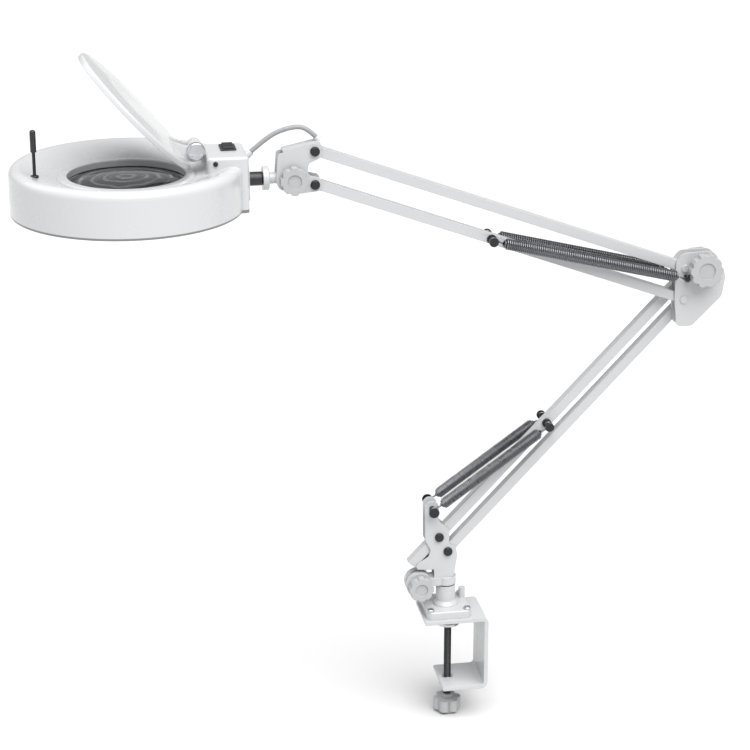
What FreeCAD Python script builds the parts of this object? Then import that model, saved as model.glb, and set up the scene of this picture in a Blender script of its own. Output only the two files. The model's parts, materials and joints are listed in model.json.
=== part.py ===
import FreeCAD, Part
import math
import os

# Magnifying lamp on a screw clamp: ring-shaped head with a lens and a lid, a two-section parallel-bar arm
# with tension springs, and a swivelling shoulder in a clamp-on base. Millimetres.
# +X runs from the head towards the clamp's web, +Y is the lamp's far side, +Z is up.
# The origin is on the underside of the clamp's top jaw, on the screw's axis.

V = FreeCAD.Vector
AXIS_X, AXIS_Y, AXIS_Z = V(1, 0, 0), V(0, 1, 0), V(0, 0, 1)
os.makedirs("parts", exist_ok=True)

# ---------------------------------------------------------------- driving dimensions

CLAMP_WIDTH = 56.0          # strip width
CLAMP_THICK = 4.0
JAW_LEFT, WEB_RIGHT = -30.0, 39.0
JAW_OPENING = 76.0
LOWER_JAW_LEFT = -10.0
SCREW_R = 4.0
PAD_BOTTOM, PAD_TOP = -13.5, -9.0
KNOB_TOP = -96.0

POST_X = -3.0               # spindle axis
SPINDLE_R = 6.0
FLANGE_TOP, SOCKET_TOP = 13.0, 36.0
BLOCK_BOTTOM, BLOCK_TOP = 37.3, 46.0
EAR = (-33.0, 39.0)         # axis of the base knob, in X and Z

BAR = 10.0                  # square tube
BAR_WALL = 1.2
FIT = 0.06                  # running clearance on radius
GAP = 0.3                   # side clearance of moving parts
PIVOT_R = 3.0
PLATE = 2.0                 # sheet of the brackets

UPPER_Y = -12.6             # middle plane of the upper arm and the head
LOWER_LENGTH, UPPER_LENGTH = 399.0, 412.0
LOWER_ANGLE, UPPER_ANGLE = math.radians(46.85), math.radians(20.0)
MAIN_ELBOW = (261.0, 384.5)     # lower arm's main bar at the elbow
LINK_OFFSET = (9.5, -17.0)      # from the lower main bar's pivots to the link bar's
TAIL = 43.0                     # main bar's tail beyond the shoulder pivot
UPPER_ELBOW = (243.0, 383.5)    # upper arm's top bar at the elbow
UPPER_SPACING = 34.0            # bottom bar's pivots are this far below
HORN = (-20.0, 127.0)           # lower springs' pin
LOWER_ANCHOR_AT, UPPER_ANCHOR_AT = 168.0, 219.0
STUB_FRONT, STUB_REAR, STUB_R = (244.0, 374.5), (236.5, 376.3), 2.6    # upper springs' stubs on the elbow
SPRING_R, SPRING_BORE = 6.0, 4.2
LOWER_SPRING_Y, UPPER_SPRING_Y = 14.5, 13.7

TILT = (-166.0, 497.0)
ROLL_Z = 497.0
HEAD_X, RIM_Z, TOP_Z = -330.0, 471.5, 518.0
HEAD_R, SHELL = 115.0, 2.5
LENS_R, LENS_EDGE, LENS_CURVE = 63.9, 3.0, 350.0
LENS_Z = 496.0
TUBE_RING_R, TUBE_R, TUBE_Z = 90.5, 14.5, 489.0
NECK_LEFT, NECK_RIGHT, NECK_TOP, NECK_HALF = -253.0, -212.0, 527.0, 31.0
LID_R, LID_AXIS = 75.5, (-262.0, 530.0)
LID_OPEN = 47.5             # degrees, as it rests
ROCKER_TILT = 8.0
CABLE_R = 2.4
SWITCH = (-229.0, -3.6)     # centre of the switch, in X and Y
HANDLE, HANDLE_SEAT = (-419.5, -38.6), 514.0
NECK_SCREW = (-245.0, 521.2)


def along(start, angle, distance):
    return (start[0] + distance * math.cos(angle), start[1] + distance * math.sin(angle))


def shifted(point, offset):
    return (point[0] + offset[0], point[1] + offset[1])


MAIN_SHOULDER = along(MAIN_ELBOW, LOWER_ANGLE, -LOWER_LENGTH)
LINK_ELBOW = shifted(MAIN_ELBOW, LINK_OFFSET)
LINK_SHOULDER = shifted(MAIN_SHOULDER, LINK_OFFSET)
LOWER_ANCHOR = along(MAIN_SHOULDER, LOWER_ANGLE, LOWER_ANCHOR_AT)
UPPER_HEAD = along(UPPER_ELBOW, math.pi - UPPER_ANGLE, UPPER_LENGTH)
UPPER_DROP = (0.0, -UPPER_SPACING)
UPPER_LINK_ELBOW = shifted(UPPER_ELBOW, UPPER_DROP)
UPPER_LINK_HEAD = shifted(UPPER_HEAD, UPPER_DROP)
UPPER_ANCHOR = along(UPPER_LINK_ELBOW, math.pi - UPPER_ANGLE, UPPER_ANCHOR_AT)

# Y of the elbow's three plates, each given by its front face
ELBOW_FRONT = UPPER_Y - BAR / 2 - GAP - PLATE
ELBOW_MIDDLE = -BAR / 2 - GAP - PLATE
ELBOW_REAR = BAR / 2 + GAP

# ---------------------------------------------------------------- shape helpers


def save(name, *shapes):
    shape = shapes[0] if len(shapes) == 1 else Part.makeCompound(list(shapes))
    shape.exportStep("parts/" + name + ".step")
    print(name, len(shape.Solids), round(shape.Volume))


def box(x0, x1, y0, y1, z0, z1):
    return Part.makeBox(x1 - x0, y1 - y0, z1 - z0, V(x0, y0, z0))


def rod_y(at, radius, y0, y1):
    return Part.makeCylinder(radius, y1 - y0, V(at[0], y0, at[1]), AXIS_Y)


def rod_z(x, y, radius, z0, z1):
    return Part.makeCylinder(radius, z1 - z0, V(x, y, z0), AXIS_Z)


def rod_x(y, z, radius, x0, x1):
    return Part.makeCylinder(radius, x1 - x0, V(x0, y, z), AXIS_X)


def sleeve_y(at, inner, outer, y0, y1):
    return rod_y(at, outer, y0, y1).cut(rod_y(at, inner, y0 - 1, y1 + 1))


def rod(start, end, radius):
    direction = end.sub(start)
    return Part.makeCylinder(radius, direction.Length, start, direction)


def fused(shapes):
    return shapes[0].multiFuse(list(shapes[1:])).removeSplitter()


def rounded_wire(points, radii):
    """Closed outline through 3D corner points, each rounded by its radius."""
    edges, count = [], len(points)
    arcs = []
    for i, (corner, radius) in enumerate(zip(points, radii)):
        before = points[i - 1].sub(corner).normalize()
        after = points[(i + 1) % count].sub(corner).normalize()
        half = before.getAngle(after) / 2
        if radius <= 0:
            arcs.append((corner, None, corner))
            continue
        reach = radius / math.tan(half)
        inward = before.add(after).normalize()
        middle = corner.add(inward.multiply(radius / math.sin(half) - radius))
        start = corner.add(before.multiply(reach))
        arcs.append((start, middle, corner.add(after.multiply(reach))))
    for i, (start, middle, end) in enumerate(arcs):
        if middle is not None:
            edges.append(Part.Arc(start, middle, end).toShape())
        following = arcs[(i + 1) % count][0]
        if end.distanceToPoint(following) > 1e-6:
            edges.append(Part.LineSegment(end, following).toShape())
    return Part.Wire(edges)


def plate_xz(outline, y0, y1):
    """Plate standing in XZ. Each outline corner is (x, z, radius)."""
    wire = rounded_wire([V(x, y0, z) for x, z, _ in outline], [r for _, _, r in outline])
    return Part.Face(wire).extrude(V(0, y1 - y0, 0))


def turned(profile, x, y):
    """Solid of revolution about a vertical axis. Each corner is (r, z, radius)."""
    wire = rounded_wire([V(x + r, y, z) for r, z, _ in profile], [f for _, _, f in profile])
    return Part.Face(wire).revolve(V(x, y, 0), AXIS_Z, 360)


def softened(shape, radius, wanted):
    edges = [edge for edge in shape.Edges if wanted(edge)]
    return shape.makeFillet(radius, edges)


def upright(edge):
    first, last = edge.Vertexes[0].Point, edge.Vertexes[-1].Point
    return abs(first.z - last.z) > 1 and abs(first.x - last.x) + abs(first.y - last.y) < 1e-6


def tube_bar(start, end, y, tail=0.0):
    """Square tube between two pivots, with round cheeks at its pivots and an optional straight tail."""
    length = math.dist(start, end)
    angle = math.degrees(math.atan2(end[1] - start[1], end[0] - start[0]))
    half, inner = BAR / 2, BAR / 2 - BAR_WALL
    outer = [box(-tail, length, -half, half, -half, half), rod_y((length, 0), half, -half, half)]
    if not tail:
        outer.append(rod_y((0, 0), half, -half, half))
    bar = fused(outer).cut(box(-tail - 9, length + 9, -inner, inner, -inner, inner))
    for x in (0, length):
        bar = bar.cut(rod_y((x, 0), PIVOT_R + FIT, -half - 1, half + 1))
    bar.rotate(V(0, 0, 0), AXIS_Y, -angle)
    bar.translate(V(start[0], y, start[1]))
    return bar


def domed_head(at, radius, y_face, height, towards):
    """Round bolt head on a plate's face. towards is -1 at the front and +1 at the back."""
    y0, y1 = sorted((y_face, y_face + towards * height))
    head = rod_y(at, radius, y0, y1)
    crown_y = y_face + towards * height
    return softened(head, height * 0.45, lambda e: e.BoundBox.YLength < 1e-6 and abs(e.BoundBox.YMin - crown_y) < 1e-6)


def hexagon_y(at, across, y0, y1):
    radius = across / math.sqrt(3)
    corners = [V(at[0] + radius * math.cos(a), y0, at[1] + radius * math.sin(a))
               for a in (math.radians(60 * k) for k in range(6))]
    return Part.Face(Part.makePolygon(corners + corners[:1])).extrude(V(0, y1 - y0, 0))


def bolt_y(at, y0, y1, head_radius=4.8, nut=True):
    """Bolt through two plates whose outer faces are y0 and y1."""
    pieces = [rod_y(at, PIVOT_R, y0, y1), domed_head(at, head_radius, y0, 3.2, -1)]
    if nut:
        pieces.append(hexagon_y(at, 8.0, y1, y1 + 4.0))
    return fused(pieces)


def scalloped_knob(at, radius, y_back, hub, grip, lobes, stud_end):
    """Knob on a Y axis, gripped at its -Y end and moulded on a stud that reaches back to stud_end."""
    front = y_back - hub - grip
    body = fused([rod_y(at, radius * 0.55, front, y_back), rod_y(at, radius, front, y_back - hub)])
    for k in range(lobes):
        angle = 2 * math.pi * (k + 0.5) / lobes
        centre = (at[0] + radius * 1.13 * math.cos(angle), at[1] + radius * 1.13 * math.sin(angle))
        body = body.cut(rod_y(centre, radius * 0.23, front - 1, y_back - hub + 1))
    body = body.cut(rod_y(at, radius * 0.5, front - 1, front + 1.2))
    return fused([body, rod_y(at, PIVOT_R, y_back - 1, stud_end)])


def tension_spring(start, end, start_pin, end_pin):
    """Coil body as a plain tube, with a straight hook wire at each end that stops at its pin."""
    direction = end.sub(start).normalize()
    length = start.distanceToPoint(end)
    lead, wire, cap = 11.0, 0.9, 1.2

    def at(distance):
        return start.add(V(direction).multiply(distance))

    coil = rod(at(lead), at(length - lead), SPRING_R).cut(rod(at(lead), at(length - lead), SPRING_BORE))
    caps = [rod(at(lead), at(lead + cap), SPRING_BORE + 0.5),
            rod(at(length - lead - cap), at(length - lead), SPRING_BORE + 0.5)]
    hooks = [rod(at(start_pin + 0.1), at(lead), wire),
             rod(at(length - lead), at(length - end_pin - 0.1), wire)]
    return fused([coil] + caps + hooks)


def cable_tube(points, radius):
    """Round lead along straight runs joined by tangent arcs."""
    edges, here = [], points[0]
    for i in range(1, len(points) - 1):
        corner = points[i]
        back, on = points[i - 1].sub(corner), points[i + 1].sub(corner)
        shorter = min(back.Length, on.Length)
        back.normalize()
        on.normalize()
        half_turn = (math.pi - back.getAngle(on)) / 2
        reach = 0.45 * shorter
        bend = reach / math.tan(half_turn)
        start, end = corner.add(V(back).multiply(reach)), corner.add(V(on).multiply(reach))
        inward = V(back).add(on).normalize()
        middle = corner.add(inward.multiply(bend / math.cos(half_turn) - bend))
        edges += [Part.LineSegment(here, start).toShape(), Part.Arc(start, middle, end).toShape()]
        here = end
        print("cable bend radius", round(bend, 1))
    edges.append(Part.LineSegment(here, points[-1]).toShape())
    path = Part.Wire(edges)
    section = Part.Wire(Part.Circle(points[0], points[1].sub(points[0]), radius).toShape())
    tube = path.makePipeShell([section], True, False)
    print("cable length", round(path.Length, 1), "volume ratio",
          round(tube.Volume / (math.pi * radius ** 2 * path.Length), 4))
    return tube


# ---------------------------------------------------------------- clamp


def make_clamp():
    half = CLAMP_WIDTH / 2
    lower = -JAW_OPENING - CLAMP_THICK
    inside = WEB_RIGHT - CLAMP_THICK
    frame = plate_xz([(JAW_LEFT, CLAMP_THICK, 0.8), (WEB_RIGHT, CLAMP_THICK, 6), (WEB_RIGHT, lower, 8),
                      (LOWER_JAW_LEFT, lower, 0.8), (LOWER_JAW_LEFT, -JAW_OPENING, 0.8),
                      (inside, -JAW_OPENING, 4), (inside, 0, 2), (JAW_LEFT, 0, 0.8)], -half, half)
    screws = [(POST_X + sx * 20, sy * 20) for sx in (-1, 1) for sy in (-1, 1)]
    for x, y in screws:
        frame = frame.cut(rod_z(x, y, 2.1, -1, 5))
    frame = frame.cut(rod_z(0, 0, 6.0, lower - 1, -JAW_OPENING + 1))
    save("clamp_frame", frame)

    nut = fused([rod_z(0, 0, 6.0, lower, -JAW_OPENING + 1), rod_z(0, 0, 9.0, lower - 4, lower)])
    save("clamp_nut", nut.cut(rod_z(0, 0, SCREW_R + FIT, lower - 6, -JAW_OPENING + 3)))

    pad = fused([rod_z(0, 0, 12.5, PAD_TOP - 2.5, PAD_TOP), rod_z(0, 0, 7.0, PAD_BOTTOM, PAD_TOP - 2.0)])
    save("clamp_pad", pad.cut(rod_z(0, 0, SCREW_R - 1 + FIT, PAD_BOTTOM - 1, PAD_TOP - 1.2)))
    shank = fused([rod_z(0, 0, SCREW_R, KNOB_TOP - 18, PAD_BOTTOM - GAP),
                   rod_z(0, 0, SCREW_R - 1, PAD_BOTTOM - 1, PAD_TOP - 1.5)])
    save("clamp_screw", shank)

    star = fused([rod_z(0, 0, 11.0, KNOB_TOP - 20, KNOB_TOP - 4), rod_z(0, 0, 6.5, KNOB_TOP - 5, KNOB_TOP)]
                 + [rod_z(9.5 * math.cos(a), 9.5 * math.sin(a), 5.4, KNOB_TOP - 18, KNOB_TOP - 5)
                    for a in (2 * math.pi * k / 6 for k in range(6))])
    save("clamp_star_knob", star.cut(rod_z(0, 0, SCREW_R, KNOB_TOP - 18, KNOB_TOP + 1)))
    return screws


def make_base(screws):
    flange = box(POST_X - 24, POST_X + 24, -25, 25, CLAMP_THICK, FLANGE_TOP)
    flange = softened(flange, 6, upright)
    flange = softened(flange, 1.5, lambda e: abs(e.BoundBox.ZMin - FLANGE_TOP) < 1e-6)
    boss = softened(box(14, 20.5, 7.5, 14.5, FLANGE_TOP - 1, 24.5), 2, upright)
    socket = turned([(0, FLANGE_TOP - 2, 0), (13.5, FLANGE_TOP - 2, 0), (13.5, FLANGE_TOP + 1, 0),
                     (10.5, FLANGE_TOP + 5, 2), (10.5, SOCKET_TOP, 0.8), (0, SOCKET_TOP, 0)], POST_X, 0)
    casting = fused([flange, boss, socket]).cut(rod_z(POST_X, 0, 8.0, FLANGE_TOP - 6, SOCKET_TOP + 1))
    for x, y in screws:
        casting = casting.cut(rod_z(x, y, 2.1, 0, 20))
    save("base_casting", casting)
    heads = []
    for x, y in screws:
        head = softened(rod_z(x, y, 4.0, FLANGE_TOP, FLANGE_TOP + 2.8), 1.2,
                        lambda e: abs(e.BoundBox.ZMin - FLANGE_TOP - 2.8) < 1e-6)
        slot = box(x - 0.5, x + 0.5, y - 3, y + 3, FLANGE_TOP + 1.8, FLANGE_TOP + 4)
        heads.append(fused([head, rod_z(x, y, 2.0, 0.3, FLANGE_TOP)]).cut(slot))
    save("flange_screws", *heads)
    liner = fused([rod_z(POST_X, 0, 8.0, FLANGE_TOP - 6, SOCKET_TOP),
                   rod_z(POST_X, 0, 10.5, SOCKET_TOP, BLOCK_BOTTOM - GAP)])
    save("socket_liner", liner.cut(rod_z(POST_X, 0, SPINDLE_R + FIT, FLANGE_TOP - 5, 60)))


# ---------------------------------------------------------------- shoulder


def make_shoulder():
    save("spindle", softened(rod_z(POST_X, 0, SPINDLE_R, FLANGE_TOP - 4.7, BLOCK_TOP), 1.0,
                             lambda e: abs(e.BoundBox.ZMax - FLANGE_TOP + 4.7) < 1e-6))
    body = fused([rod_z(POST_X, 0, 11.0, BLOCK_BOTTOM, BLOCK_TOP),
                  box(EAR[0], POST_X, -9, 9, BLOCK_BOTTOM, BLOCK_TOP), rod_y(EAR, 14.0, -9, 9)])
    body = body.cut(rod_z(POST_X, 0, SPINDLE_R, 30, 60)).cut(box(-60, -15, -2, 2, 20, 60))
    body = body.fuse(hexagon_y(EAR, 12.0, 9.0, 13.5))
    save("swivel_block", body.cut(rod_y(EAR, PIVOT_R + FIT, -10, 16)))

    low, x, z = BLOCK_TOP, MAIN_SHOULDER[0], MAIN_SHOULDER[1]
    cheek = [(HORN[0] - 7.5, HORN[1] + 8, 7), (HORN[0] + 7.5, HORN[1] + 8, 7),
             (HORN[0] + 7, HORN[1] - 15, 12),
             (x + 11, z + 8, 8), (x + 11, z - 9, 5), (x + 18, z - 12, 5), (x + 20, z - 22, 6),
             (x + 16, low, 3), (-17, low, 0), (-17, low + 10, 0), (-35, low + 11, 2), (-37, low + 16, 3),
             (-23, low + 25, 4), (-21, low + 33, 5), (-27, z - 3, 5)]
    inner = BAR / 2 + GAP
    web = box(-17, x + 15, -inner - 1, inner + 1, low, low + PLATE)
    tongue = plate_xz([(-14, low, 0), (-14, low + PLATE, 0), (-24, low + PLATE, 3), (-40, 45, 7),
                       (-40, 31, 7), (-26, 31, 7), (-17, low, 0)], -1.9, 1.9)
    bracket = fused([plate_xz(cheek, -inner - PLATE, -inner), plate_xz(cheek, inner, inner + PLATE), web,
                     tongue])
    for at, radius in ((MAIN_SHOULDER, PIVOT_R), (LINK_SHOULDER, PIVOT_R), (HORN, PIVOT_R),
                       (EAR, PIVOT_R + FIT)):
        bracket = bracket.cut(rod_y(at, radius, -12, 12))
    save("shoulder_bracket", bracket)
    outer = inner + PLATE
    save("shoulder_pivots", bolt_y(MAIN_SHOULDER, -outer, outer), bolt_y(LINK_SHOULDER, -outer, outer))

    save("base_knob", scalloped_knob(EAR, 13.2, -9.6, 3.4, 9.0, 8, 15.0))

    reach = LOWER_SPRING_Y + 6
    pin = rod_y(HORN, PIVOT_R, -reach, reach)
    washers = [rod_y(HORN, 5.6, y, y + 1.4) for y in (-reach, reach - 1.4)]
    save("lower_spring_pin", fused([pin] + washers))


# ---------------------------------------------------------------- arms


def make_lower_arm():
    main = tube_bar(MAIN_SHOULDER, MAIN_ELBOW, 0, TAIL)
    save("lower_main_bar", main.cut(rod_y(LOWER_ANCHOR, PIVOT_R, -9, 9)))
    save("lower_link_bar", tube_bar(LINK_SHOULDER, LINK_ELBOW, 0))
    reach = LOWER_SPRING_Y + 6
    pin = [rod_y(LOWER_ANCHOR, PIVOT_R, -reach, reach)]
    for y0, y1 in ((-reach, 2.0 - reach), (-8.0, -BAR / 2), (BAR / 2, 8.0), (reach - 2.0, reach)):
        pin.append(rod_y(LOWER_ANCHOR, 4.8, y0, y1))
    save("lower_spring_anchor", fused(pin))
    for name, y in (("lower_spring_front", -LOWER_SPRING_Y), ("lower_spring_rear", LOWER_SPRING_Y)):
        save(name, tension_spring(V(HORN[0], y, HORN[1]), V(LOWER_ANCHOR[0], y, LOWER_ANCHOR[1]), PIVOT_R,
                                  PIVOT_R))


def make_elbow():
    wide = [(233, 391, 8), (233, 352, 20), (236, 321, 5), (252, 320, 8), (284, 352, 12), (287, 374, 12),
            (274, 401, 12), (240, 400, 8)]
    narrow = [(250, 397, 6), (251, 375, 8), (261, 354, 8), (282, 354, 10), (286, 375, 12), (272, 399, 10)]
    pivots = (UPPER_ELBOW, UPPER_LINK_ELBOW, LINK_ELBOW)
    for name, outline, y in (("elbow_plate_front", wide, ELBOW_FRONT),
                             ("elbow_plate_middle", wide, ELBOW_MIDDLE),
                             ("elbow_plate_rear", narrow, ELBOW_REAR)):
        plate = plate_xz(outline, y, y + PLATE)
        for at in pivots:
            plate = plate.cut(rod_y(at, PIVOT_R, y - 1, y + PLATE + 1))
        if name == "elbow_plate_rear":
            plate = plate.fuse(hexagon_y(MAIN_ELBOW, 11.0, y + PLATE, y + PLATE + 5))
        save(name, plate.cut(rod_y(MAIN_ELBOW, PIVOT_R + FIT, y - 1, y + PLATE + 6)))
    save("elbow_spacers", *[sleeve_y(at, PIVOT_R + FIT, 5.5, ELBOW_FRONT + PLATE, ELBOW_MIDDLE)
                            for at in (MAIN_ELBOW, LINK_ELBOW)])
    middle_back = ELBOW_MIDDLE + PLATE
    rivets = [fused([rod_y(at, PIVOT_R, ELBOW_FRONT, middle_back),
                     domed_head(at, 4.2, ELBOW_FRONT, 1.4, -1)])
              for at in (UPPER_ELBOW, UPPER_LINK_ELBOW)]
    save("elbow_pivots", *rivets, bolt_y(LINK_ELBOW, ELBOW_FRONT, ELBOW_REAR + PLATE))
    save("elbow_spring_pins", rod_y(STUB_FRONT, STUB_R, ELBOW_FRONT - 8.0, ELBOW_FRONT),
         rod_y(STUB_REAR, STUB_R, middle_back, 3.6))
    save("elbow_knob", scalloped_knob(MAIN_ELBOW, 17.5, ELBOW_FRONT - GAP, 7.8, 10.5, 10,
                                      ELBOW_REAR + PLATE + 7))


def make_upper_arm():
    save("upper_top_bar", tube_bar(UPPER_HEAD, UPPER_ELBOW, UPPER_Y))
    bottom = tube_bar(UPPER_LINK_HEAD, UPPER_LINK_ELBOW, UPPER_Y)
    save("upper_bottom_bar", bottom.cut(rod_y(UPPER_ANCHOR, PIVOT_R, UPPER_Y - 9, UPPER_Y + 9)))
    reach = UPPER_SPRING_Y + 4
    pin = [rod_y(UPPER_ANCHOR, PIVOT_R, UPPER_Y - reach, UPPER_Y + reach)]
    for offset in (-reach, -BAR / 2 - 1.5, BAR / 2, reach - 1.5):
        pin.append(rod_y(UPPER_ANCHOR, 5.0, UPPER_Y + offset, UPPER_Y + offset + 1.5))
    save("upper_spring_anchor", fused(pin))
    for name, stub, y in (("upper_spring_front", STUB_FRONT, UPPER_Y - UPPER_SPRING_Y),
                          ("upper_spring_rear", STUB_REAR, UPPER_Y + UPPER_SPRING_Y)):
        save(name, tension_spring(V(UPPER_ANCHOR[0], y, UPPER_ANCHOR[1]),
                                  V(stub[0], y, stub[1]),
                                  PIVOT_R, STUB_R))


# ---------------------------------------------------------------- head joint

CHEEK_IN, CHEEK_OUT = 6.3, 8.8
CABLE_MIDDLE = V(-173.5, -8.8, 544.6)
CABLE_ARM_END = V(-142.0, -11.5, 537.0)
CABLE_HEAD_END = V(-206.0, -7.0, 523.5)
CABLE_ARM = [CABLE_ARM_END, V(-149.5, -10.8, 545.0), V(-162.0, -9.7, 548.2), CABLE_MIDDLE]
CABLE_ONWARD = CABLE_MIDDLE.add(CABLE_MIDDLE.sub(CABLE_ARM[2]).multiply(0.74))
CABLE_HEAD = [CABLE_MIDDLE, CABLE_ONWARD, V(-195.5, -7.4, 532.5), CABLE_HEAD_END]


def gland(tip, towards, root, radius):
    """Tapered outlet whose tip meets the lead; root is how far it reaches back."""
    direction = V(towards).normalize()
    base = tip.sub(V(direction).multiply(root))
    return Part.makeCone(radius, CABLE_R + 0.9, root, base, direction)


def make_head_joint():
    left, right = -183.0, -137.5

    def top_z(x):
        return 522.9 + 0.22 * (x + 180)

    cheek = [(left + 2, 487, 8), (left, TILT[1], 10), (left + 2, top_z(left + 2), 3),
             (right, top_z(right), 2),
             (right, UPPER_HEAD[1] - 6.5, 5), (-151, 512, 5), (-151, 500, 5), (right,
                                                            UPPER_LINK_HEAD[1] + 6.5, 5),
             (right, UPPER_LINK_HEAD[1] - 6.5, 5), (-160, 482, 6)]
    sides = [plate_xz(cheek, UPPER_Y + a, UPPER_Y + b) for a,
             b in ((-CHEEK_OUT, -CHEEK_IN), (CHEEK_IN, CHEEK_OUT))]
    roof_left, roof_right = -176.0, right - 1
    roof = plate_xz([(roof_left, top_z(roof_left) - 0.6, 0), (roof_left, top_z(roof_left) + 2.2, 1),
                     (roof_right, top_z(roof_right) + 2.2, 1), (roof_right, top_z(roof_right) - 0.6, 0)],
                    UPPER_Y - CHEEK_OUT, UPPER_Y + CHEEK_OUT)
    weld_nut = hexagon_y(TILT, 11.0, UPPER_Y + CHEEK_OUT, UPPER_Y + CHEEK_OUT + 5)
    yoke = fused(sides + [roof, weld_nut])
    for at, radius in ((UPPER_HEAD, PIVOT_R), (UPPER_LINK_HEAD, PIVOT_R), (TILT, PIVOT_R + FIT)):
        yoke = yoke.cut(rod_y(at, radius, UPPER_Y - 12, UPPER_Y + 16))
    outlet = gland(CABLE_ARM_END, CABLE_ARM[1].sub(CABLE_ARM_END), 5.0, 4.2)
    save("yoke", yoke.cut(outlet))
    save("yoke_gland", outlet)
    faces = (UPPER_Y - CHEEK_OUT, UPPER_Y + CHEEK_OUT)
    save("yoke_pivots", bolt_y(UPPER_HEAD, *faces), bolt_y(UPPER_LINK_HEAD, *faces))
    washers = []
    for at in (UPPER_HEAD, UPPER_LINK_HEAD):
        washers += [sleeve_y(at, PIVOT_R, 5.0, UPPER_Y - CHEEK_IN, UPPER_Y - BAR / 2 - GAP),
                    sleeve_y(at, PIVOT_R, 5.0, UPPER_Y + BAR / 2 + GAP, UPPER_Y + CHEEK_IN)]
    save("yoke_washers", *washers)

    save("tilt_knob", scalloped_knob(TILT, 14.0, faces[0] - GAP, 2.8, 9.5, 8, faces[1] + 6))

    knuckle = fused([rod_y(TILT, 11.0, UPPER_Y - 6, UPPER_Y + 6), rod_x(UPPER_Y, ROLL_Z, 5.7, -190.5, -170),
                     softened(rod_x(UPPER_Y, ROLL_Z, 12.0, -195.7, -189.5), 1.5,
                              lambda e: abs(e.BoundBox.XMin + 189.5) < 1e-6 and e.BoundBox.XLength < 1e-6)])
    knuckle = knuckle.cut(rod_y(TILT, PIVOT_R + FIT, -40, 20)).cut(rod_x(UPPER_Y, ROLL_Z, 3.5, -200, -183))
    save("tilt_knuckle", knuckle)
    save("roll_bolt", fused([rod_x(UPPER_Y, ROLL_Z, 3.5, -221, -183),
                             rod_x(UPPER_Y, ROLL_Z, 6.5, -219.5, -215.2)]))
    plate = box(NECK_RIGHT, NECK_RIGHT + 2, UPPER_Y - 16, UPPER_Y + 16, 478, 511)
    plate = softened(plate, 4, lambda e: e.BoundBox.XLength > 1.9 and e.BoundBox.YLength + e.BoundBox.ZLength < 1e-6)
    bore = rod_x(UPPER_Y, ROLL_Z, 3.5 + FIT, -240, -180)
    save("neck_plate", plate.cut(bore))
    save("roll_bush", softened(rod_x(UPPER_Y, ROLL_Z, 7.0, NECK_RIGHT + 2, -196), 1.0,
                               lambda e: abs(e.BoundBox.XMin + 196) < 1e-6 and e.BoundBox.XLength < 1e-6).cut(bore))
    save("cable_loop_arm", cable_tube(CABLE_ARM, CABLE_R))
    save("cable_loop_head", cable_tube(CABLE_HEAD, CABLE_R))


# ---------------------------------------------------------------- head


def make_head_shell():
    dish = 505.0
    outer = turned([(0, RIM_Z, 0), (HEAD_R, RIM_Z, 0.6), (HEAD_R, TOP_Z, 8), (104, TOP_Z, 6),
                    (66, dish, 0), (0, dish, 0)], HEAD_X, UPPER_Y)
    inner = turned([(0, RIM_Z - 9, 0), (HEAD_R - SHELL, RIM_Z - 9, 0), (HEAD_R - SHELL, TOP_Z - SHELL, 5.5),
                    (104.4, TOP_Z - SHELL, 5), (66.5, dish - 1.4, 0), (0, dish - 1.4, 0)], HEAD_X, UPPER_Y)
    neck = box(NECK_LEFT, NECK_RIGHT, UPPER_Y - NECK_HALF, UPPER_Y + NECK_HALF, RIM_Z - 1, NECK_TOP)
    neck = softened(neck, 5, upright)
    neck = softened(neck, 3, lambda e: abs(e.BoundBox.ZMin - NECK_TOP) < 1e-6)
    room = box(NECK_LEFT + SHELL, NECK_RIGHT - SHELL, UPPER_Y - NECK_HALF + SHELL,
               UPPER_Y + NECK_HALF - SHELL,
               RIM_Z + 1.5, NECK_TOP - SHELL)
    shell = outer.fuse(neck).cut(inner).cut(room)
    shell = shell.cut(rod_z(HEAD_X, UPPER_Y, 62, 480, 530))
    seat = turned([(58, 507.5, 1.2), (65, 507.5, 2.2), (68, 506, 0), (68, 503.4, 0), (66.5, 502.4, 0),
                   (66.5, 484, 0.5),
                   (64, 484, 0.5), (64, 500.6, 0), (58, 500.6, 0)], HEAD_X, UPPER_Y)
    shell = shell.fuse(seat).removeSplitter()
    shell = shell.cut(box(SWITCH[0] - 6.5, SWITCH[0] + 6.5, SWITCH[1] - 10, SWITCH[1] + 10, 520, 530))
    shell = shell.cut(rod_x(UPPER_Y, ROLL_Z, 3.5 + FIT, -240, -180))
    outlet = gland(CABLE_HEAD_END, CABLE_HEAD[2].sub(CABLE_HEAD_END), 12.0, 5.0)
    shell = shell.cut(outlet).cut(rod_z(*HANDLE, 1.6, 505, 520))
    shell = shell.cut(rod_z(*HANDLE, 4.3, HANDLE_SEAT, 520))
    screws = []
    for side in (-1, 1):
        face = UPPER_Y + side * NECK_HALF
        inner, outer = face - side * 6, face + side * 1.6
        shank = rod_y(NECK_SCREW, 1.5, min(inner, face), max(inner, face))
        shell = shell.cut(shank)
        screws.append(fused([shank, rod_y(NECK_SCREW, 2.4, min(face, outer), max(face, outer))]))
    save("head_shell", shell)
    save("neck_gland", outlet)
    save("neck_screws", *screws)


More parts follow.
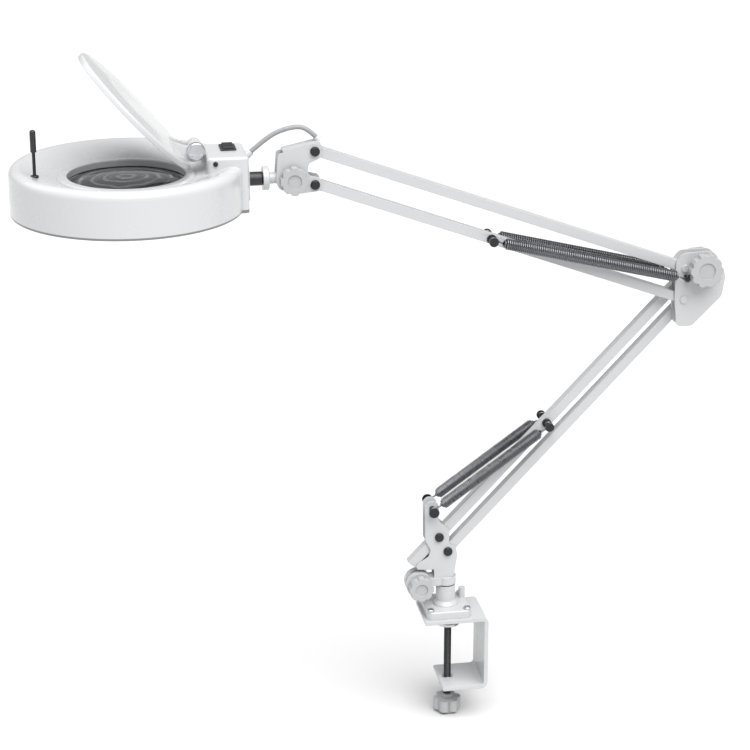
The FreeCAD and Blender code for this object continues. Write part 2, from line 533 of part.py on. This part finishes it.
def make_light():
    wall = HEAD_R - SHELL
    pan = turned([(73.4, 477, 0), (74.4, 477, 0), (74.4, 504.4, 0), (wall - 1, 504.4, 0),
                  (wall - 1, 494, 0),
                  (wall, 494, 0), (wall, 505.4, 0), (73.4, 505.4, 0)], HEAD_X, UPPER_Y)
    window = box(HEAD_X + 66, HEAD_X + 76, UPPER_Y - 12, UPPER_Y + 12, 476, 498)
    nut_room = box(HEAD_X + wall - 6, HEAD_X + wall + 2, UPPER_Y - 9, UPPER_Y + 9, 486, 504.2)
    save("reflector", pan.cut(window).cut(nut_room))

    base_half = 10.0
    section = Part.Face(Part.Wire(Part.Circle(V(HEAD_X + TUBE_RING_R, UPPER_Y, TUBE_Z), AXIS_Y,
                                              TUBE_R).toShape()))
    bore = Part.Face(Part.Wire(Part.Circle(V(HEAD_X + TUBE_RING_R, UPPER_Y, TUBE_Z), AXIS_Y,
                                           TUBE_R - 1.2).toShape()))
    glass = section.cut(bore).revolve(V(HEAD_X, UPPER_Y, 0), AXIS_Z, 360 - 2 * base_half)
    glass.rotate(V(HEAD_X, UPPER_Y, 0), AXIS_Z, base_half)
    save("ring_tube", glass)
    cap = section.revolve(V(HEAD_X, UPPER_Y, 0), AXIS_Z, 2 * base_half)
    cap.rotate(V(HEAD_X, UPPER_Y, 0), AXIS_Z, -base_half)
    pins = [rod_x(UPPER_Y + dy, TUBE_Z + dz, 1.2, HEAD_X + 72, HEAD_X + 80) for dy in (-5,
                                                            5) for dz in (-3.5, 3.5)]
    save("tube_cap", fused([cap] + pins))
    socket = box(HEAD_X + 67.2, HEAD_X + 75, UPPER_Y - 12, UPPER_Y + 12, TUBE_Z - 8, TUBE_Z + 8)
    for dy in (-5, 5):
        for dz in (-3.5, 3.5):
            socket = socket.cut(rod_x(UPPER_Y + dy, TUBE_Z + dz, 1.25, HEAD_X + 70, HEAD_X + 80))
    save("tube_socket", socket)

    clips = []
    for degrees in (60, 180, 300):
        outer = Part.makeCircle(TUBE_R + 0.9, V(HEAD_X + TUBE_RING_R, UPPER_Y, TUBE_Z), AXIS_Y)
        ring = Part.Face(Part.Wire(outer)).revolve(V(HEAD_X, UPPER_Y, 0), AXIS_Z, 6)
        hole = Part.Face(Part.Wire(Part.makeCircle(TUBE_R + 0.05,
                                                   V(HEAD_X + TUBE_RING_R, UPPER_Y, TUBE_Z), AXIS_Y)))
        ring = ring.cut(hole.revolve(V(HEAD_X, UPPER_Y, 0), AXIS_Z, 6))
        ring = ring.cut(box(HEAD_X, HEAD_X + 130, UPPER_Y - 5, UPPER_Y + 20, TUBE_Z - 20, TUBE_Z - 8))
        ring.rotate(V(HEAD_X, UPPER_Y, 0), AXIS_Z, degrees - 3)
        clips.append(ring)
    save("tube_clips", *clips)

    middle = UPPER_Y - 18
    board = [box(-249, -217, middle - 9, middle + 9, 508, 509.6),
             box(-247, -235, middle - 7, middle + 7, 509.6, 521),
             rod_z(-228, middle - 3.5, 4.5, 509.6, 520), rod_z(-221.5, middle + 4.5, 3.0, 509.6, 517)]
    board += [rod_z(x, y, 2.0, 505.4, 508) for x in (-246, -228) for y in (middle - 6, middle + 6)]
    save("ballast", fused(board))


def make_lens():
    low, high, edge = LENS_Z, LENS_Z + LENS_EDGE, LENS_R
    sag = LENS_CURVE - math.sqrt(LENS_CURVE ** 2 - edge ** 2)
    half_sag = LENS_CURVE - math.sqrt(LENS_CURVE ** 2 - (edge / 2) ** 2)

    def point(r, z):
        return V(HEAD_X + r, UPPER_Y, z)

    outline = [Part.Arc(point(0, high + sag), point(edge / 2, high + sag - half_sag),
                        point(edge, high)).toShape(),
               Part.LineSegment(point(edge, high), point(edge, low)).toShape(),
               Part.Arc(point(edge, low), point(edge / 2, low - sag + half_sag),
                        point(0, low - sag)).toShape(),
               Part.LineSegment(point(0, low - sag), point(0, high + sag)).toShape()]
    lens = Part.Face(Part.Wire(outline)).revolve(V(HEAD_X, UPPER_Y, 0), AXIS_Z, 360)
    save("lens", lens)
    save("lens_ring", turned([(58.5, 486, 0.8), (64, 486, 0.8), (64, LENS_Z, 0), (62.8, LENS_Z, 0),
                              (62.8, 494.4, 0), (58.5, 494.4, 0.8)], HEAD_X, UPPER_Y).cut(lens))


def make_switch():
    x, y, top = SWITCH[0], SWITCH[1], NECK_TOP
    frame = softened(box(x - 7.75, x + 7.75, y - 12, y + 12, top, top + 1.6), 1.5, upright)
    frame = frame.fuse(box(x - 6.5, x + 6.5, y - 10, y + 10, top - 13, top))
    frame = frame.cut(box(x - 5.6, x + 5.6, y - 9.2, y + 9.2, top - 11.5, top + 3))
    frame = frame.cut(rod_x(y, top - 4, 1.0 + FIT, x - 6.4, x + 6.4))
    save("switch_frame", frame)
    pivot = V(x, y, top - 4)
    side = [(-5, -9), (-7.6, -2), (-7.6, 3.4), (0, 2.0), (7.6, 3.4), (7.6, -2), (5, -9)]
    corners = [V(x - 5.3, y + dy, top + dz) for dy, dz in side]
    rocker = Part.Face(Part.makePolygon(corners + corners[:1])).extrude(V(10.6, 0, 0))
    rocker = rocker.fuse(rod_x(y, top - 4, 1.0, x - 6.3, x + 6.3))
    rocker.rotate(pivot, AXIS_X, ROCKER_TILT)
    save("switch_rocker", rocker)


def make_lid():
    x, z = LID_AXIS
    cover = turned([(0, 516, 0), (LID_R - 1.8, 516, 0), (LID_R - 1.8, 512, 0), (LID_R, 512, 0.6),
                    (LID_R, 517.8, 2.5), (40, 519.2, 30), (0, 519.2, 0)], HEAD_X, UPPER_Y)
    lugs = []
    for side in (-1, 1):
        y0, y1 = sorted((UPPER_Y + side * 6.5, UPPER_Y + side * 11))
        lugs.append(plate_xz([(x - 30, 516.6, 0), (x - 9, z - 3, 5), (x - 7, z + 8, 6), (x + 8, z + 8, 7.5),
                              (x + 8, z - 8, 7), (x, 516.6, 0)], y0, y1))
    cover = cover.cut(box(x - 13, x + 20, UPPER_Y - 6.8, UPPER_Y + 6.8, 500, 521))
    lid = fused([cover] + lugs).cut(rod_y(LID_AXIS, 2.5 + FIT, UPPER_Y - 15, UPPER_Y + 15))
    lid.rotate(V(x, 0, z), AXIS_Y, LID_OPEN)
    save("lid", lid)

    ear = plate_xz([(x - 8, z + 8, 7.8), (x + 8, z + 8, 7.8), (NECK_LEFT, 524, 0), (NECK_LEFT, 513, 0),
                    (NECK_LEFT - 3, 513, 1), (NECK_LEFT - 3, 520, 3), (x - 8, z - 8, 7.8)],
                   UPPER_Y - 6.2, UPPER_Y + 6.2)
    save("lid_hinge_bracket", ear.cut(rod_y(LID_AXIS, 2.5, UPPER_Y - 8, UPPER_Y + 8)))
    face = UPPER_Y - 11 - GAP
    knob = domed_head(LID_AXIS, 9.2, face, 4.6, -1)
    pin = rod_y(LID_AXIS, 2.5, face, UPPER_Y + 11 + GAP)
    end = domed_head(LID_AXIS, 4.5, UPPER_Y + 11 + GAP, 2.0, 1)
    save("lid_hinge_pin", fused([knob, pin, end]))


def make_handle():
    rod_piece = fused([rod_z(*HANDLE, 1.6, 510, 541), rod_z(*HANDLE, 4.0, HANDLE_SEAT + 0.05, HANDLE_SEAT + 2.0)])
    save("handle_rod", rod_piece)
    grip = softened(rod_z(*HANDLE, 2.9, 539, 561), 2.4, lambda e: abs(e.BoundBox.ZMin - 561) < 1e-6)
    grip = softened(grip, 0.8, lambda e: abs(e.BoundBox.ZMax - 539) < 1e-6)
    save("handle_grip", grip.cut(rod_z(*HANDLE, 1.6, 530, 541)))


flange_screw_places = make_clamp()
make_base(flange_screw_places)
make_shoulder()
make_lower_arm()
make_elbow()
make_upper_arm()
make_head_joint()
make_head_shell()
make_light()
make_lens()
make_switch()
make_lid()
make_handle()
for label, place in (("main shoulder", MAIN_SHOULDER), ("link shoulder", LINK_SHOULDER),
                     ("lower anchor", LOWER_ANCHOR),
                     ("link elbow", LINK_ELBOW), ("upper head", UPPER_HEAD), ("upper link head",
                                                            UPPER_LINK_HEAD),
                     ("upper anchor", UPPER_ANCHOR)):
    print(label, [round(value, 3) for value in place])
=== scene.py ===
import json
import math

import bmesh
import bpy
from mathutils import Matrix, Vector


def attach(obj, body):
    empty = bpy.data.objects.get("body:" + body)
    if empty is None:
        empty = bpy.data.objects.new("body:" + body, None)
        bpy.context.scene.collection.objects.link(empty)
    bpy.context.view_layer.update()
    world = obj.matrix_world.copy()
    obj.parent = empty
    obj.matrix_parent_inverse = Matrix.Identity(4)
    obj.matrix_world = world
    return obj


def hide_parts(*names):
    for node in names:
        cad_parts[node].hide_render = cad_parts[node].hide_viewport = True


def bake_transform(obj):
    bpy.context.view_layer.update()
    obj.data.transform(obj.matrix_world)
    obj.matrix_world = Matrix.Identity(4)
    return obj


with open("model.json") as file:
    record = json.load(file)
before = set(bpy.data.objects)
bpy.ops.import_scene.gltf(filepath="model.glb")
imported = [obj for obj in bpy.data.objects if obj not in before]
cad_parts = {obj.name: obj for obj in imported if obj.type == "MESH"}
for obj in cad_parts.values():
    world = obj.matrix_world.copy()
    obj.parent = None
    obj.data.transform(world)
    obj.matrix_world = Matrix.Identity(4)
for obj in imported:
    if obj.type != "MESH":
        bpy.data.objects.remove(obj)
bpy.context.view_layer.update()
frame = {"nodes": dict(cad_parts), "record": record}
nodes = frame["nodes"]
MM = 0.001

# ---------------------------------------------------------------- places shared with the CAD, in millimetres

HORN, LOWER_ANCHOR = (-20.0, 127.0), (103.017, 215.970)
STUB_FRONT, STUB_REAR, UPPER_ANCHOR = (244.0, 374.5), (236.5, 376.3), (37.207, 424.402)
UPPER_Y = -12.6
LOWER_SPRING_Y, UPPER_SPRING_Y = 14.5, 13.7
COIL_R, WIRE_R, LEAD = 5.1, 0.9, 11.0
PIN_R, STUB_R = 3.0, 2.6
CABLE_R = 2.4
FLOOR_Z = -117.5
LENS_CENTRE = (-330.0, UPPER_Y, 496.0)
RIM_SHADE_BAND = (474.1, 473.5)       # heights of the band along the rim's lower edge that gets a painted shadow line
THREAD_PITCH, THREAD_MAJOR, THREAD_MINOR = 1.25, 4.0, 3.35
SCREW_LOW, SCREW_HIGH = -114.0, -13.8
CABLE_ARM = [(-142.0, -11.5, 537.0), (-149.5, -10.8, 545.0), (-162.0, -9.7, 548.2), (-173.5, -8.8, 544.6)]
CABLE_HEAD = [(-173.5, -8.8, 544.6), (-182.01, -8.134, 541.936), (-195.5, -7.4, 532.5), (-206.0, -7.0, 523.5)]


# ---------------------------------------------------------------- material helpers


class Surface:
    """A Principled material with its node tree at hand."""

    def __init__(self, name, colour, roughness, metallic=0.0, **sockets):
        self.name = name
        self.material = bpy.data.materials.new(name + "_finish")
        self.material.use_nodes = True
        self.tree = self.material.node_tree
        self.shader = self.tree.nodes["Principled BSDF"]
        self.shader.inputs["Base Color"].default_value = (*colour, 1)
        self.shader.inputs["Roughness"].default_value = roughness
        self.shader.inputs["Metallic"].default_value = metallic
        for key, value in sockets.items():
            self.shader.inputs[key.replace("_", " ")].default_value = value
        self.place = self.node("ShaderNodeTexCoord").outputs["Object"]
        self.normal = None
        self.colour = None

    def node(self, kind, **settings):
        item = self.tree.nodes.new(kind)
        for key, value in settings.items():
            setattr(item, key, value)
        return item

    def link(self, source, target):
        self.tree.links.new(source, target)

    def stretched(self, scale):
        mapping = self.node("ShaderNodeMapping")
        mapping.inputs["Scale"].default_value = scale
        self.link(self.place, mapping.inputs["Vector"])
        return mapping.outputs["Vector"]

    def noise(self, scale, detail=3.0, stretch=None, rough=0.55):
        item = self.node("ShaderNodeTexNoise")
        item.inputs["Scale"].default_value = scale
        item.inputs["Detail"].default_value = detail
        item.inputs["Roughness"].default_value = rough
        self.link(self.stretched(stretch) if stretch else self.place, item.inputs["Vector"])
        return item.outputs["Fac"]

    def ramp(self, value, low, high, first, last):
        item = self.node("ShaderNodeMapRange", clamp=True)
        for key, number in (("From Min", low), ("From Max", high), ("To Min", first), ("To Max", last)):
            item.inputs[key].default_value = number
        self.link(value, item.inputs["Value"])
        return item.outputs["Result"]

    def rounded(self, radius):
        item = self.node("ShaderNodeBevel", samples=4)
        item.inputs["Radius"].default_value = radius
        self.normal = item.outputs["Normal"]
        self.link(self.normal, self.shader.inputs["Normal"])
        return self

    def bump(self, height, strength, distance):
        item = self.node("ShaderNodeBump")
        item.inputs["Strength"].default_value = strength
        item.inputs["Distance"].default_value = distance
        self.link(height, item.inputs["Height"])
        if self.normal:
            self.link(self.normal, item.inputs["Normal"])
        self.normal = item.outputs["Normal"]
        self.link(self.normal, self.shader.inputs["Normal"])
        return self

    def vary_roughness(self, value, low, high):
        self.link(self.ramp(value, 0.35, 0.65, low, high), self.shader.inputs["Roughness"])
        return self

    def tint(self, mask, colour):
        """Mixes a second colour in where the mask is 1."""
        mix = self.node("ShaderNodeMix", data_type="RGBA")
        if self.colour:
            self.link(self.colour, mix.inputs["A"])
        else:
            mix.inputs["A"].default_value = self.shader.inputs["Base Color"].default_value
        mix.inputs["B"].default_value = (*colour, 1)
        self.link(mask, mix.inputs["Factor"])
        self.colour = mix.outputs["Result"]
        self.link(self.colour, self.shader.inputs["Base Color"])
        return self

    def edges(self, radius):
        """1 along the convex and concave edges, 0 on the flats."""
        bevel = self.node("ShaderNodeBevel", samples=4)
        bevel.inputs["Radius"].default_value = radius
        dot = self.node("ShaderNodeVectorMath", operation="DOT_PRODUCT")
        self.link(bevel.outputs["Normal"], dot.inputs[0])
        self.link(self.node("ShaderNodeNewGeometry").outputs["Normal"], dot.inputs[1])
        return self.ramp(dot.outputs["Value"], 0.995, 0.90, 0.0, 1.0)


def enamel():
    s = Surface("white_metal", (0.47, 0.474, 0.482), 0.30, Coat_Weight=0.25, Coat_Roughness=0.12)
    s.rounded(0.0006)
    s.bump(s.noise(900, 2), 0.10, 0.00025)
    s.vary_roughness(s.noise(38, 4), 0.27, 0.42)
    s.tint(s.ramp(s.noise(10, 2), 0.42, 0.80, 0.0, 0.25), (0.44, 0.44, 0.435))
    return s.tint(s.ramp(s.noise(420, 3), 0.70, 0.78, 0.0, 0.25), (0.36, 0.36, 0.36))


def gloss_white():
    s = Surface("white_plastic", (0.52, 0.524, 0.532), 0.22, Coat_Weight=0.35, Coat_Roughness=0.06)
    s.rounded(0.0007)
    s.bump(s.noise(260, 2), 0.05, 0.0003)
    s.vary_roughness(s.noise(22, 4), 0.18, 0.31)
    s.tint(s.ramp(s.noise(7, 2), 0.40, 0.80, 0.0, 0.25), (0.49, 0.49, 0.485))
    # painted shade: a dark band at the rim's lower edge stands for the head's underside in shade
    height = s.node("ShaderNodeSeparateXYZ")
    s.link(s.place, height.inputs["Vector"])
    painted_shadow_line = s.ramp(height.outputs["Z"], RIM_SHADE_BAND[0] * MM, RIM_SHADE_BAND[1] * MM, 0.0, 0.85)
    return s.tint(painted_shadow_line, (0.10, 0.10, 0.105))


def knob_white():
    s = Surface("knob_plastic", (0.38, 0.384, 0.392), 0.45).rounded(0.0008)
    s.bump(s.noise(1300, 3), 0.25, 0.0002)
    s.vary_roughness(s.noise(90, 4), 0.40, 0.58)
    return s.tint(s.ramp(s.noise(60, 4), 0.45, 0.80, 0.0, 0.35), (0.31, 0.31, 0.31))


def black_steel():
    s = Surface("black_steel", (0.035, 0.036, 0.040), 0.36, 0.75).rounded(0.0004)
    s.bump(s.noise(1100, 3), 0.15, 0.00015)
    s.vary_roughness(s.noise(160, 4), 0.28, 0.50)
    return s.tint(s.edges(0.0006), (0.16, 0.16, 0.165))


def bright_steel():
    s = Surface("bright_steel", (0.55, 0.56, 0.58), 0.30, 1.0).rounded(0.0004)
    s.bump(s.noise(240, 3, (1, 1, 9)), 0.12, 0.0002)
    s.vary_roughness(s.noise(120, 4, (1, 1, 6)), 0.22, 0.42)
    return s.tint(s.ramp(s.noise(70, 5), 0.52, 0.75, 0.0, 0.5), (0.40, 0.41, 0.43))


def spring_steel():
    s = Surface("spring_steel", (0.17, 0.173, 0.185), 0.24, 0.9)
    s.bump(s.noise(1500, 2), 0.10, 0.0001)
    s.vary_roughness(s.noise(120, 3), 0.20, 0.36)
    return s.tint(s.ramp(s.noise(45, 4), 0.50, 0.75, 0.0, 0.6), (0.09, 0.09, 0.095))


def black_plastic():
    s = Surface("black_plastic", (0.018, 0.018, 0.020), 0.42).rounded(0.0005)
    s.bump(s.noise(1600, 3), 0.22, 0.00015)
    return s.vary_roughness(s.noise(110, 3), 0.34, 0.52)


def lens_glass():
    """Glass darkened in its colour, a painted shade for the dark view through the lens. Pale rings about the
    lens axis are a painted reflection of the ring tube.
    """
    # painted shade: the dark base colour stands for the shade seen through the lens
    s = Surface("lens_glass", (0.04, 0.046, 0.05), 0.02, IOR=1.52, Transmission_Weight=0.75,
                Specular_IOR_Level=0.12)
    rings = s.node("ShaderNodeTexWave", wave_type="RINGS", rings_direction="Z")
    for key, value in (("Scale", 24.0), ("Distortion", 5.0), ("Detail", 3.0), ("Detail Scale", 1.2)):
        rings.inputs[key].default_value = value
    centre = s.node("ShaderNodeMapping")
    centre.inputs["Location"].default_value = [-place * MM for place in LENS_CENTRE]
    s.link(s.place, centre.inputs["Vector"])
    s.link(centre.outputs["Vector"], rings.inputs["Vector"])
    # painted reflection: pale rings stand for the ring tube reflected in the lens
    s.tint(s.ramp(rings.outputs["Fac"], 0.72, 0.98, 0.0, 0.75), (0.46, 0.48, 0.49))
    s.vary_roughness(s.noise(30, 3), 0.010, 0.040)
    return s.bump(s.noise(12, 1), 0.02, 0.0002)


def phosphor_glass():
    s = Surface("tube_glass", (0.86, 0.865, 0.86), 0.30, Coat_Weight=1.0, Coat_Roughness=0.03)
    s.vary_roughness(s.noise(60, 3), 0.24, 0.38)
    s.tint(s.ramp(s.noise(25, 4), 0.50, 0.80, 0.0, 0.4), (0.80, 0.81, 0.79))
    return s.bump(s.noise(500, 2), 0.04, 0.0002)


def cable_sheath():
    s = Surface("cable_grey", (0.27, 0.277, 0.285), 0.46)
    s.bump(s.noise(700, 3), 0.12, 0.0002)
    return s.vary_roughness(s.noise(90, 3), 0.38, 0.55)


def circuit_board():
    s = Surface("board", (0.03, 0.13, 0.06), 0.40).rounded(0.0003)
    s.tint(s.ramp(s.noise(500, 1), 0.60, 0.64, 0.0, 0.8), (0.45, 0.34, 0.14))
    return s.bump(s.noise(400, 2), 0.2, 0.0002)


surfaces = {s.name: s.material for s in (
    enamel(), gloss_white(), knob_white(), black_steel(), bright_steel(), spring_steel(), black_plastic(),
    lens_glass(), phosphor_glass(), cable_sheath(), circuit_board())}

for part in frame["record"]["subparts"]:
    target = nodes[part["node"]]
    if not target.material_slots:
        target.data.materials.append(None)
    for place in target.material_slots:
        place.material = surfaces[part["material_slot"]]


# ---------------------------------------------------------------- mesh helpers


def finished(mesh_builder, name, surface):
    mesh = bpy.data.meshes.new(name)
    mesh_builder.to_mesh(mesh)
    mesh_builder.free()
    mesh.materials.append(surfaces[surface])
    for polygon in mesh.polygons:
        polygon.use_smooth = True
    piece = bpy.data.objects.new(name, mesh)
    bpy.context.scene.collection.objects.link(piece)
    return piece


def sweep(builder, path, radius, sides):
    """Round wire along a path, with closed ends."""
    rings, side = [], None
    for i, point in enumerate(path):
        ahead = (path[min(i + 1, len(path) - 1)] - path[max(i - 1, 0)]).normalized()
        if side is None:
            side = ahead.orthogonal().normalized()
        side = (side - ahead * side.dot(ahead)).normalized()
        other = ahead.cross(side)
        turns = (2 * math.pi * k / sides for k in range(sides))
        rings.append([builder.verts.new(point + radius * (math.cos(a) * side + math.sin(a) * other))
                      for a in turns])
    for first, second in zip(rings, rings[1:]):
        for k in range(sides):
            builder.faces.new((first[k], first[k - 1], second[k - 1], second[k]))
    builder.faces.new(rings[0])
    builder.faces.new(list(reversed(rings[-1])))


def hook(pin, out, pin_radius):
    """Wire points from the coil's end centre to the pin and once round it."""
    across = Vector((0, 1, 0))
    start_angle = 0.5
    loop = pin_radius + WIRE_R
    sideways = out.cross(across)
    points = []
    for k in range(26):
        a = start_angle + (2 * math.pi - 2 * start_angle) * k / 25
        shift = across * (WIRE_R * 1.1 * (k / 25 - 0.5))
        points.append(pin + loop * (math.cos(a) * out + math.sin(a) * sideways) + shift)
    neck = pin + out * (LEAD - 2.6)
    return [pin + out * (LEAD + 0.2), neck] + points[:23]


def coil_spring(name, y, first_pin, last_pin, radii):
    start, end = (Vector((p[0], y, p[1])) for p in (first_pin, last_pin))
    direction = (end - start).normalized()
    side = direction.cross(Vector((0, 1, 0))).normalized()
    up = direction.cross(side)
    length = (end - start).length - 2 * LEAD
    turns = int(length / (2 * WIRE_R + 0.22))
    steps = turns * 16
    path = []
    for i in range(steps + 1):
        angle = 2 * math.pi * i / 16
        ends = min(i, steps - i) / 16
        radius = COIL_R * min(1.0, 0.35 + 0.65 * ends / 1.5)
        centre = start + direction * (LEAD + length * i / steps)
        path.append(centre + radius * (math.cos(angle) * side + math.sin(angle) * up))
    builder = bmesh.new()
    sweep(builder, [p * MM for p in path], WIRE_R * MM, 7)
    for pin, out, pin_radius in ((start, direction, radii[0]), (end, -direction, radii[1])):
        sweep(builder, [p * MM for p in hook(pin, out, pin_radius)], WIRE_R * MM, 8)
    spring = finished(builder, name + "_coil", "spring_steel")
    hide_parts(name)
    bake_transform(spring)


for label, spring_y in (("lower_spring_front", -LOWER_SPRING_Y), ("lower_spring_rear", LOWER_SPRING_Y)):
    coil_spring(label, spring_y, HORN, LOWER_ANCHOR, (PIN_R, PIN_R))
for label, stub, spring_y in (("upper_spring_front", STUB_FRONT, UPPER_Y - UPPER_SPRING_Y),
                              ("upper_spring_rear", STUB_REAR, UPPER_Y + UPPER_SPRING_Y)):
    coil_spring(label, spring_y, stub, UPPER_ANCHOR, (STUB_R, PIN_R))


def threaded_screw():
    """Clamp screw with a rolled thread of 1.25 mm pitch and a plain tip that seats in the pad."""
    pitch, major, minor, sides = THREAD_PITCH, THREAD_MAJOR, THREAD_MINOR, 32
    low, high = SCREW_LOW, SCREW_HIGH
    profile = ((0.0, minor), (0.12, minor), (0.44, major), (0.56, major), (0.88, minor))
    builder = bmesh.new()
    rows = []
    for turn in range(int((high - low) / pitch)):
        rows += [(low + (turn + share) * pitch, radius) for share, radius in profile]
    rings = []
    for z, radius in rows:
        ring = []
        for k in range(sides):
            a = 2 * math.pi * k / sides
            lift = min(max(z + pitch * k / sides, low), high - 0.4)
            ring.append(builder.verts.new(Vector((radius * math.cos(a), radius * math.sin(a), lift)) * MM))
        rings.append(ring)
    for first, second in zip(rings, rings[1:]):
        for k in range(sides - 1):
            builder.faces.new((first[k], first[k + 1], second[k + 1], second[k]))
    per_turn = len(profile)
    for i in range(len(rings) - per_turn - 1):
        first, second = rings[i + per_turn][0], rings[i + per_turn + 1][0]
        third, fourth = rings[i + 1][-1], rings[i][-1]
        builder.faces.new((fourth, first, second, third))
    collar = []
    for z, radius in ((high - 2.2, minor), (high - 0.1, 3.35), (high, 3.0), (-10.7, 3.0), (-10.5, 2.6)):
        collar.append([builder.verts.new(Vector((radius * math.cos(2 * math.pi * k / sides),
                                                 radius * math.sin(2 * math.pi * k / sides), z)) * MM)
                       for k in range(sides)])
    for first, second in zip(collar, collar[1:]):
        for k in range(sides):
            builder.faces.new((first[k - 1], first[k], second[k], second[k - 1]))
    builder.faces.new(collar[-1])
    screw = finished(builder, "clamp_screw_thread", "black_steel")
    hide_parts("clamp_screw")
    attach(screw, "screw")


threaded_screw()


# ---------------------------------------------------------------- lead between the arm and the head


def lead(name, route):
    """One half of the looped lead, on a NURBS spline through the CAD route's points."""
    curve = bpy.data.curves.new(name + "_line", "CURVE")
    curve.dimensions = "3D"
    curve.resolution_u = 16
    spline = curve.splines.new("NURBS")
    spline.points.add(len(route) - 1)
    for point, place in zip(spline.points, route):
        point.co = (*(Vector(place) * MM), 1)
    spline.order_u = 3
    spline.use_endpoint_u = True
    line = bpy.data.objects.new(name + "_line", curve)
    bpy.context.scene.collection.objects.link(line)
    bpy.context.view_layer.update()
    read = bpy.data.meshes.new_from_object(line.evaluated_get(bpy.context.evaluated_depsgraph_get()))
    path = [vertex.co.copy() for vertex in read.vertices]
    bpy.data.objects.remove(line)
    builder = bmesh.new()
    sweep(builder, path, CABLE_R * MM, 24)
    sheath = finished(builder, name + "_sheath", "cable_grey")
    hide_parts(name)
    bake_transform(sheath)


lead("cable_loop_arm", CABLE_ARM)
lead("cable_loop_head", list(reversed(CABLE_HEAD)))

# ---------------------------------------------------------------- stage, lights and camera

floor_mesh = bpy.data.meshes.new("floor")
floor_builder = bmesh.new()
bmesh.ops.create_grid(floor_builder, x_segments=1, y_segments=1, size=12.0)
floor_builder.to_mesh(floor_mesh)
floor_builder.free()
floor = bpy.data.objects.new("floor", floor_mesh)
floor.location = (0, 0, FLOOR_Z * MM)
bpy.context.scene.collection.objects.link(floor)
floor_look = Surface("floor_paint", (0.62, 0.62, 0.62), 0.9)
floor_mesh.materials.append(floor_look.material)

world = bpy.data.worlds.new("studio")
world.use_nodes = True
world.node_tree.nodes["Background"].inputs["Color"].default_value = (1.0, 1.0, 1.0, 1)
world.node_tree.nodes["Background"].inputs["Strength"].default_value = 0.5
bpy.context.scene.world = world


def softbox(name, place, target, size, power):
    light = bpy.data.lights.new(name, "AREA")
    light.shape = "RECTANGLE"
    light.size, light.size_y = size
    light.energy = power
    lamp = bpy.data.objects.new(name, light)
    lamp.location = place
    lamp.rotation_euler = (Vector(target) - Vector(place)).to_track_quat("-Z", "Y").to_euler()
    bpy.context.scene.collection.objects.link(lamp)


# a wide soft key from the front and above, with a small box at the back for the edges
softbox("edge", (-1.6, 0.7, 1.9), (-0.1, 0, 0.3), (1.2, 1.6), 6)

daylight = bpy.data.lights.new("key", "SUN")
daylight.energy = 4.7
daylight.angle = math.radians(60)
key = bpy.data.objects.new("key", daylight)
key.rotation_euler = Vector((-0.12, 0.46, -0.86)).to_track_quat("-Z", "Y").to_euler()
bpy.context.scene.collection.objects.link(key)

camera_data = bpy.data.cameras.new("camera")
camera_data.sensor_width = 36
camera_data.lens = 108.2
camera = bpy.data.objects.new("camera", camera_data)
camera.location = (-0.4512, -2.1750, 1.0599)
aim = Vector((-0.0802, 0.0, 0.2786)) - camera.location
camera.rotation_euler = aim.to_track_quat("-Z", "Y").to_euler()
bpy.context.scene.collection.objects.link(camera)
bpy.context.scene.camera = camera
bpy.context.scene.view_settings.view_transform = "Standard"

bpy.context.view_layer.update()
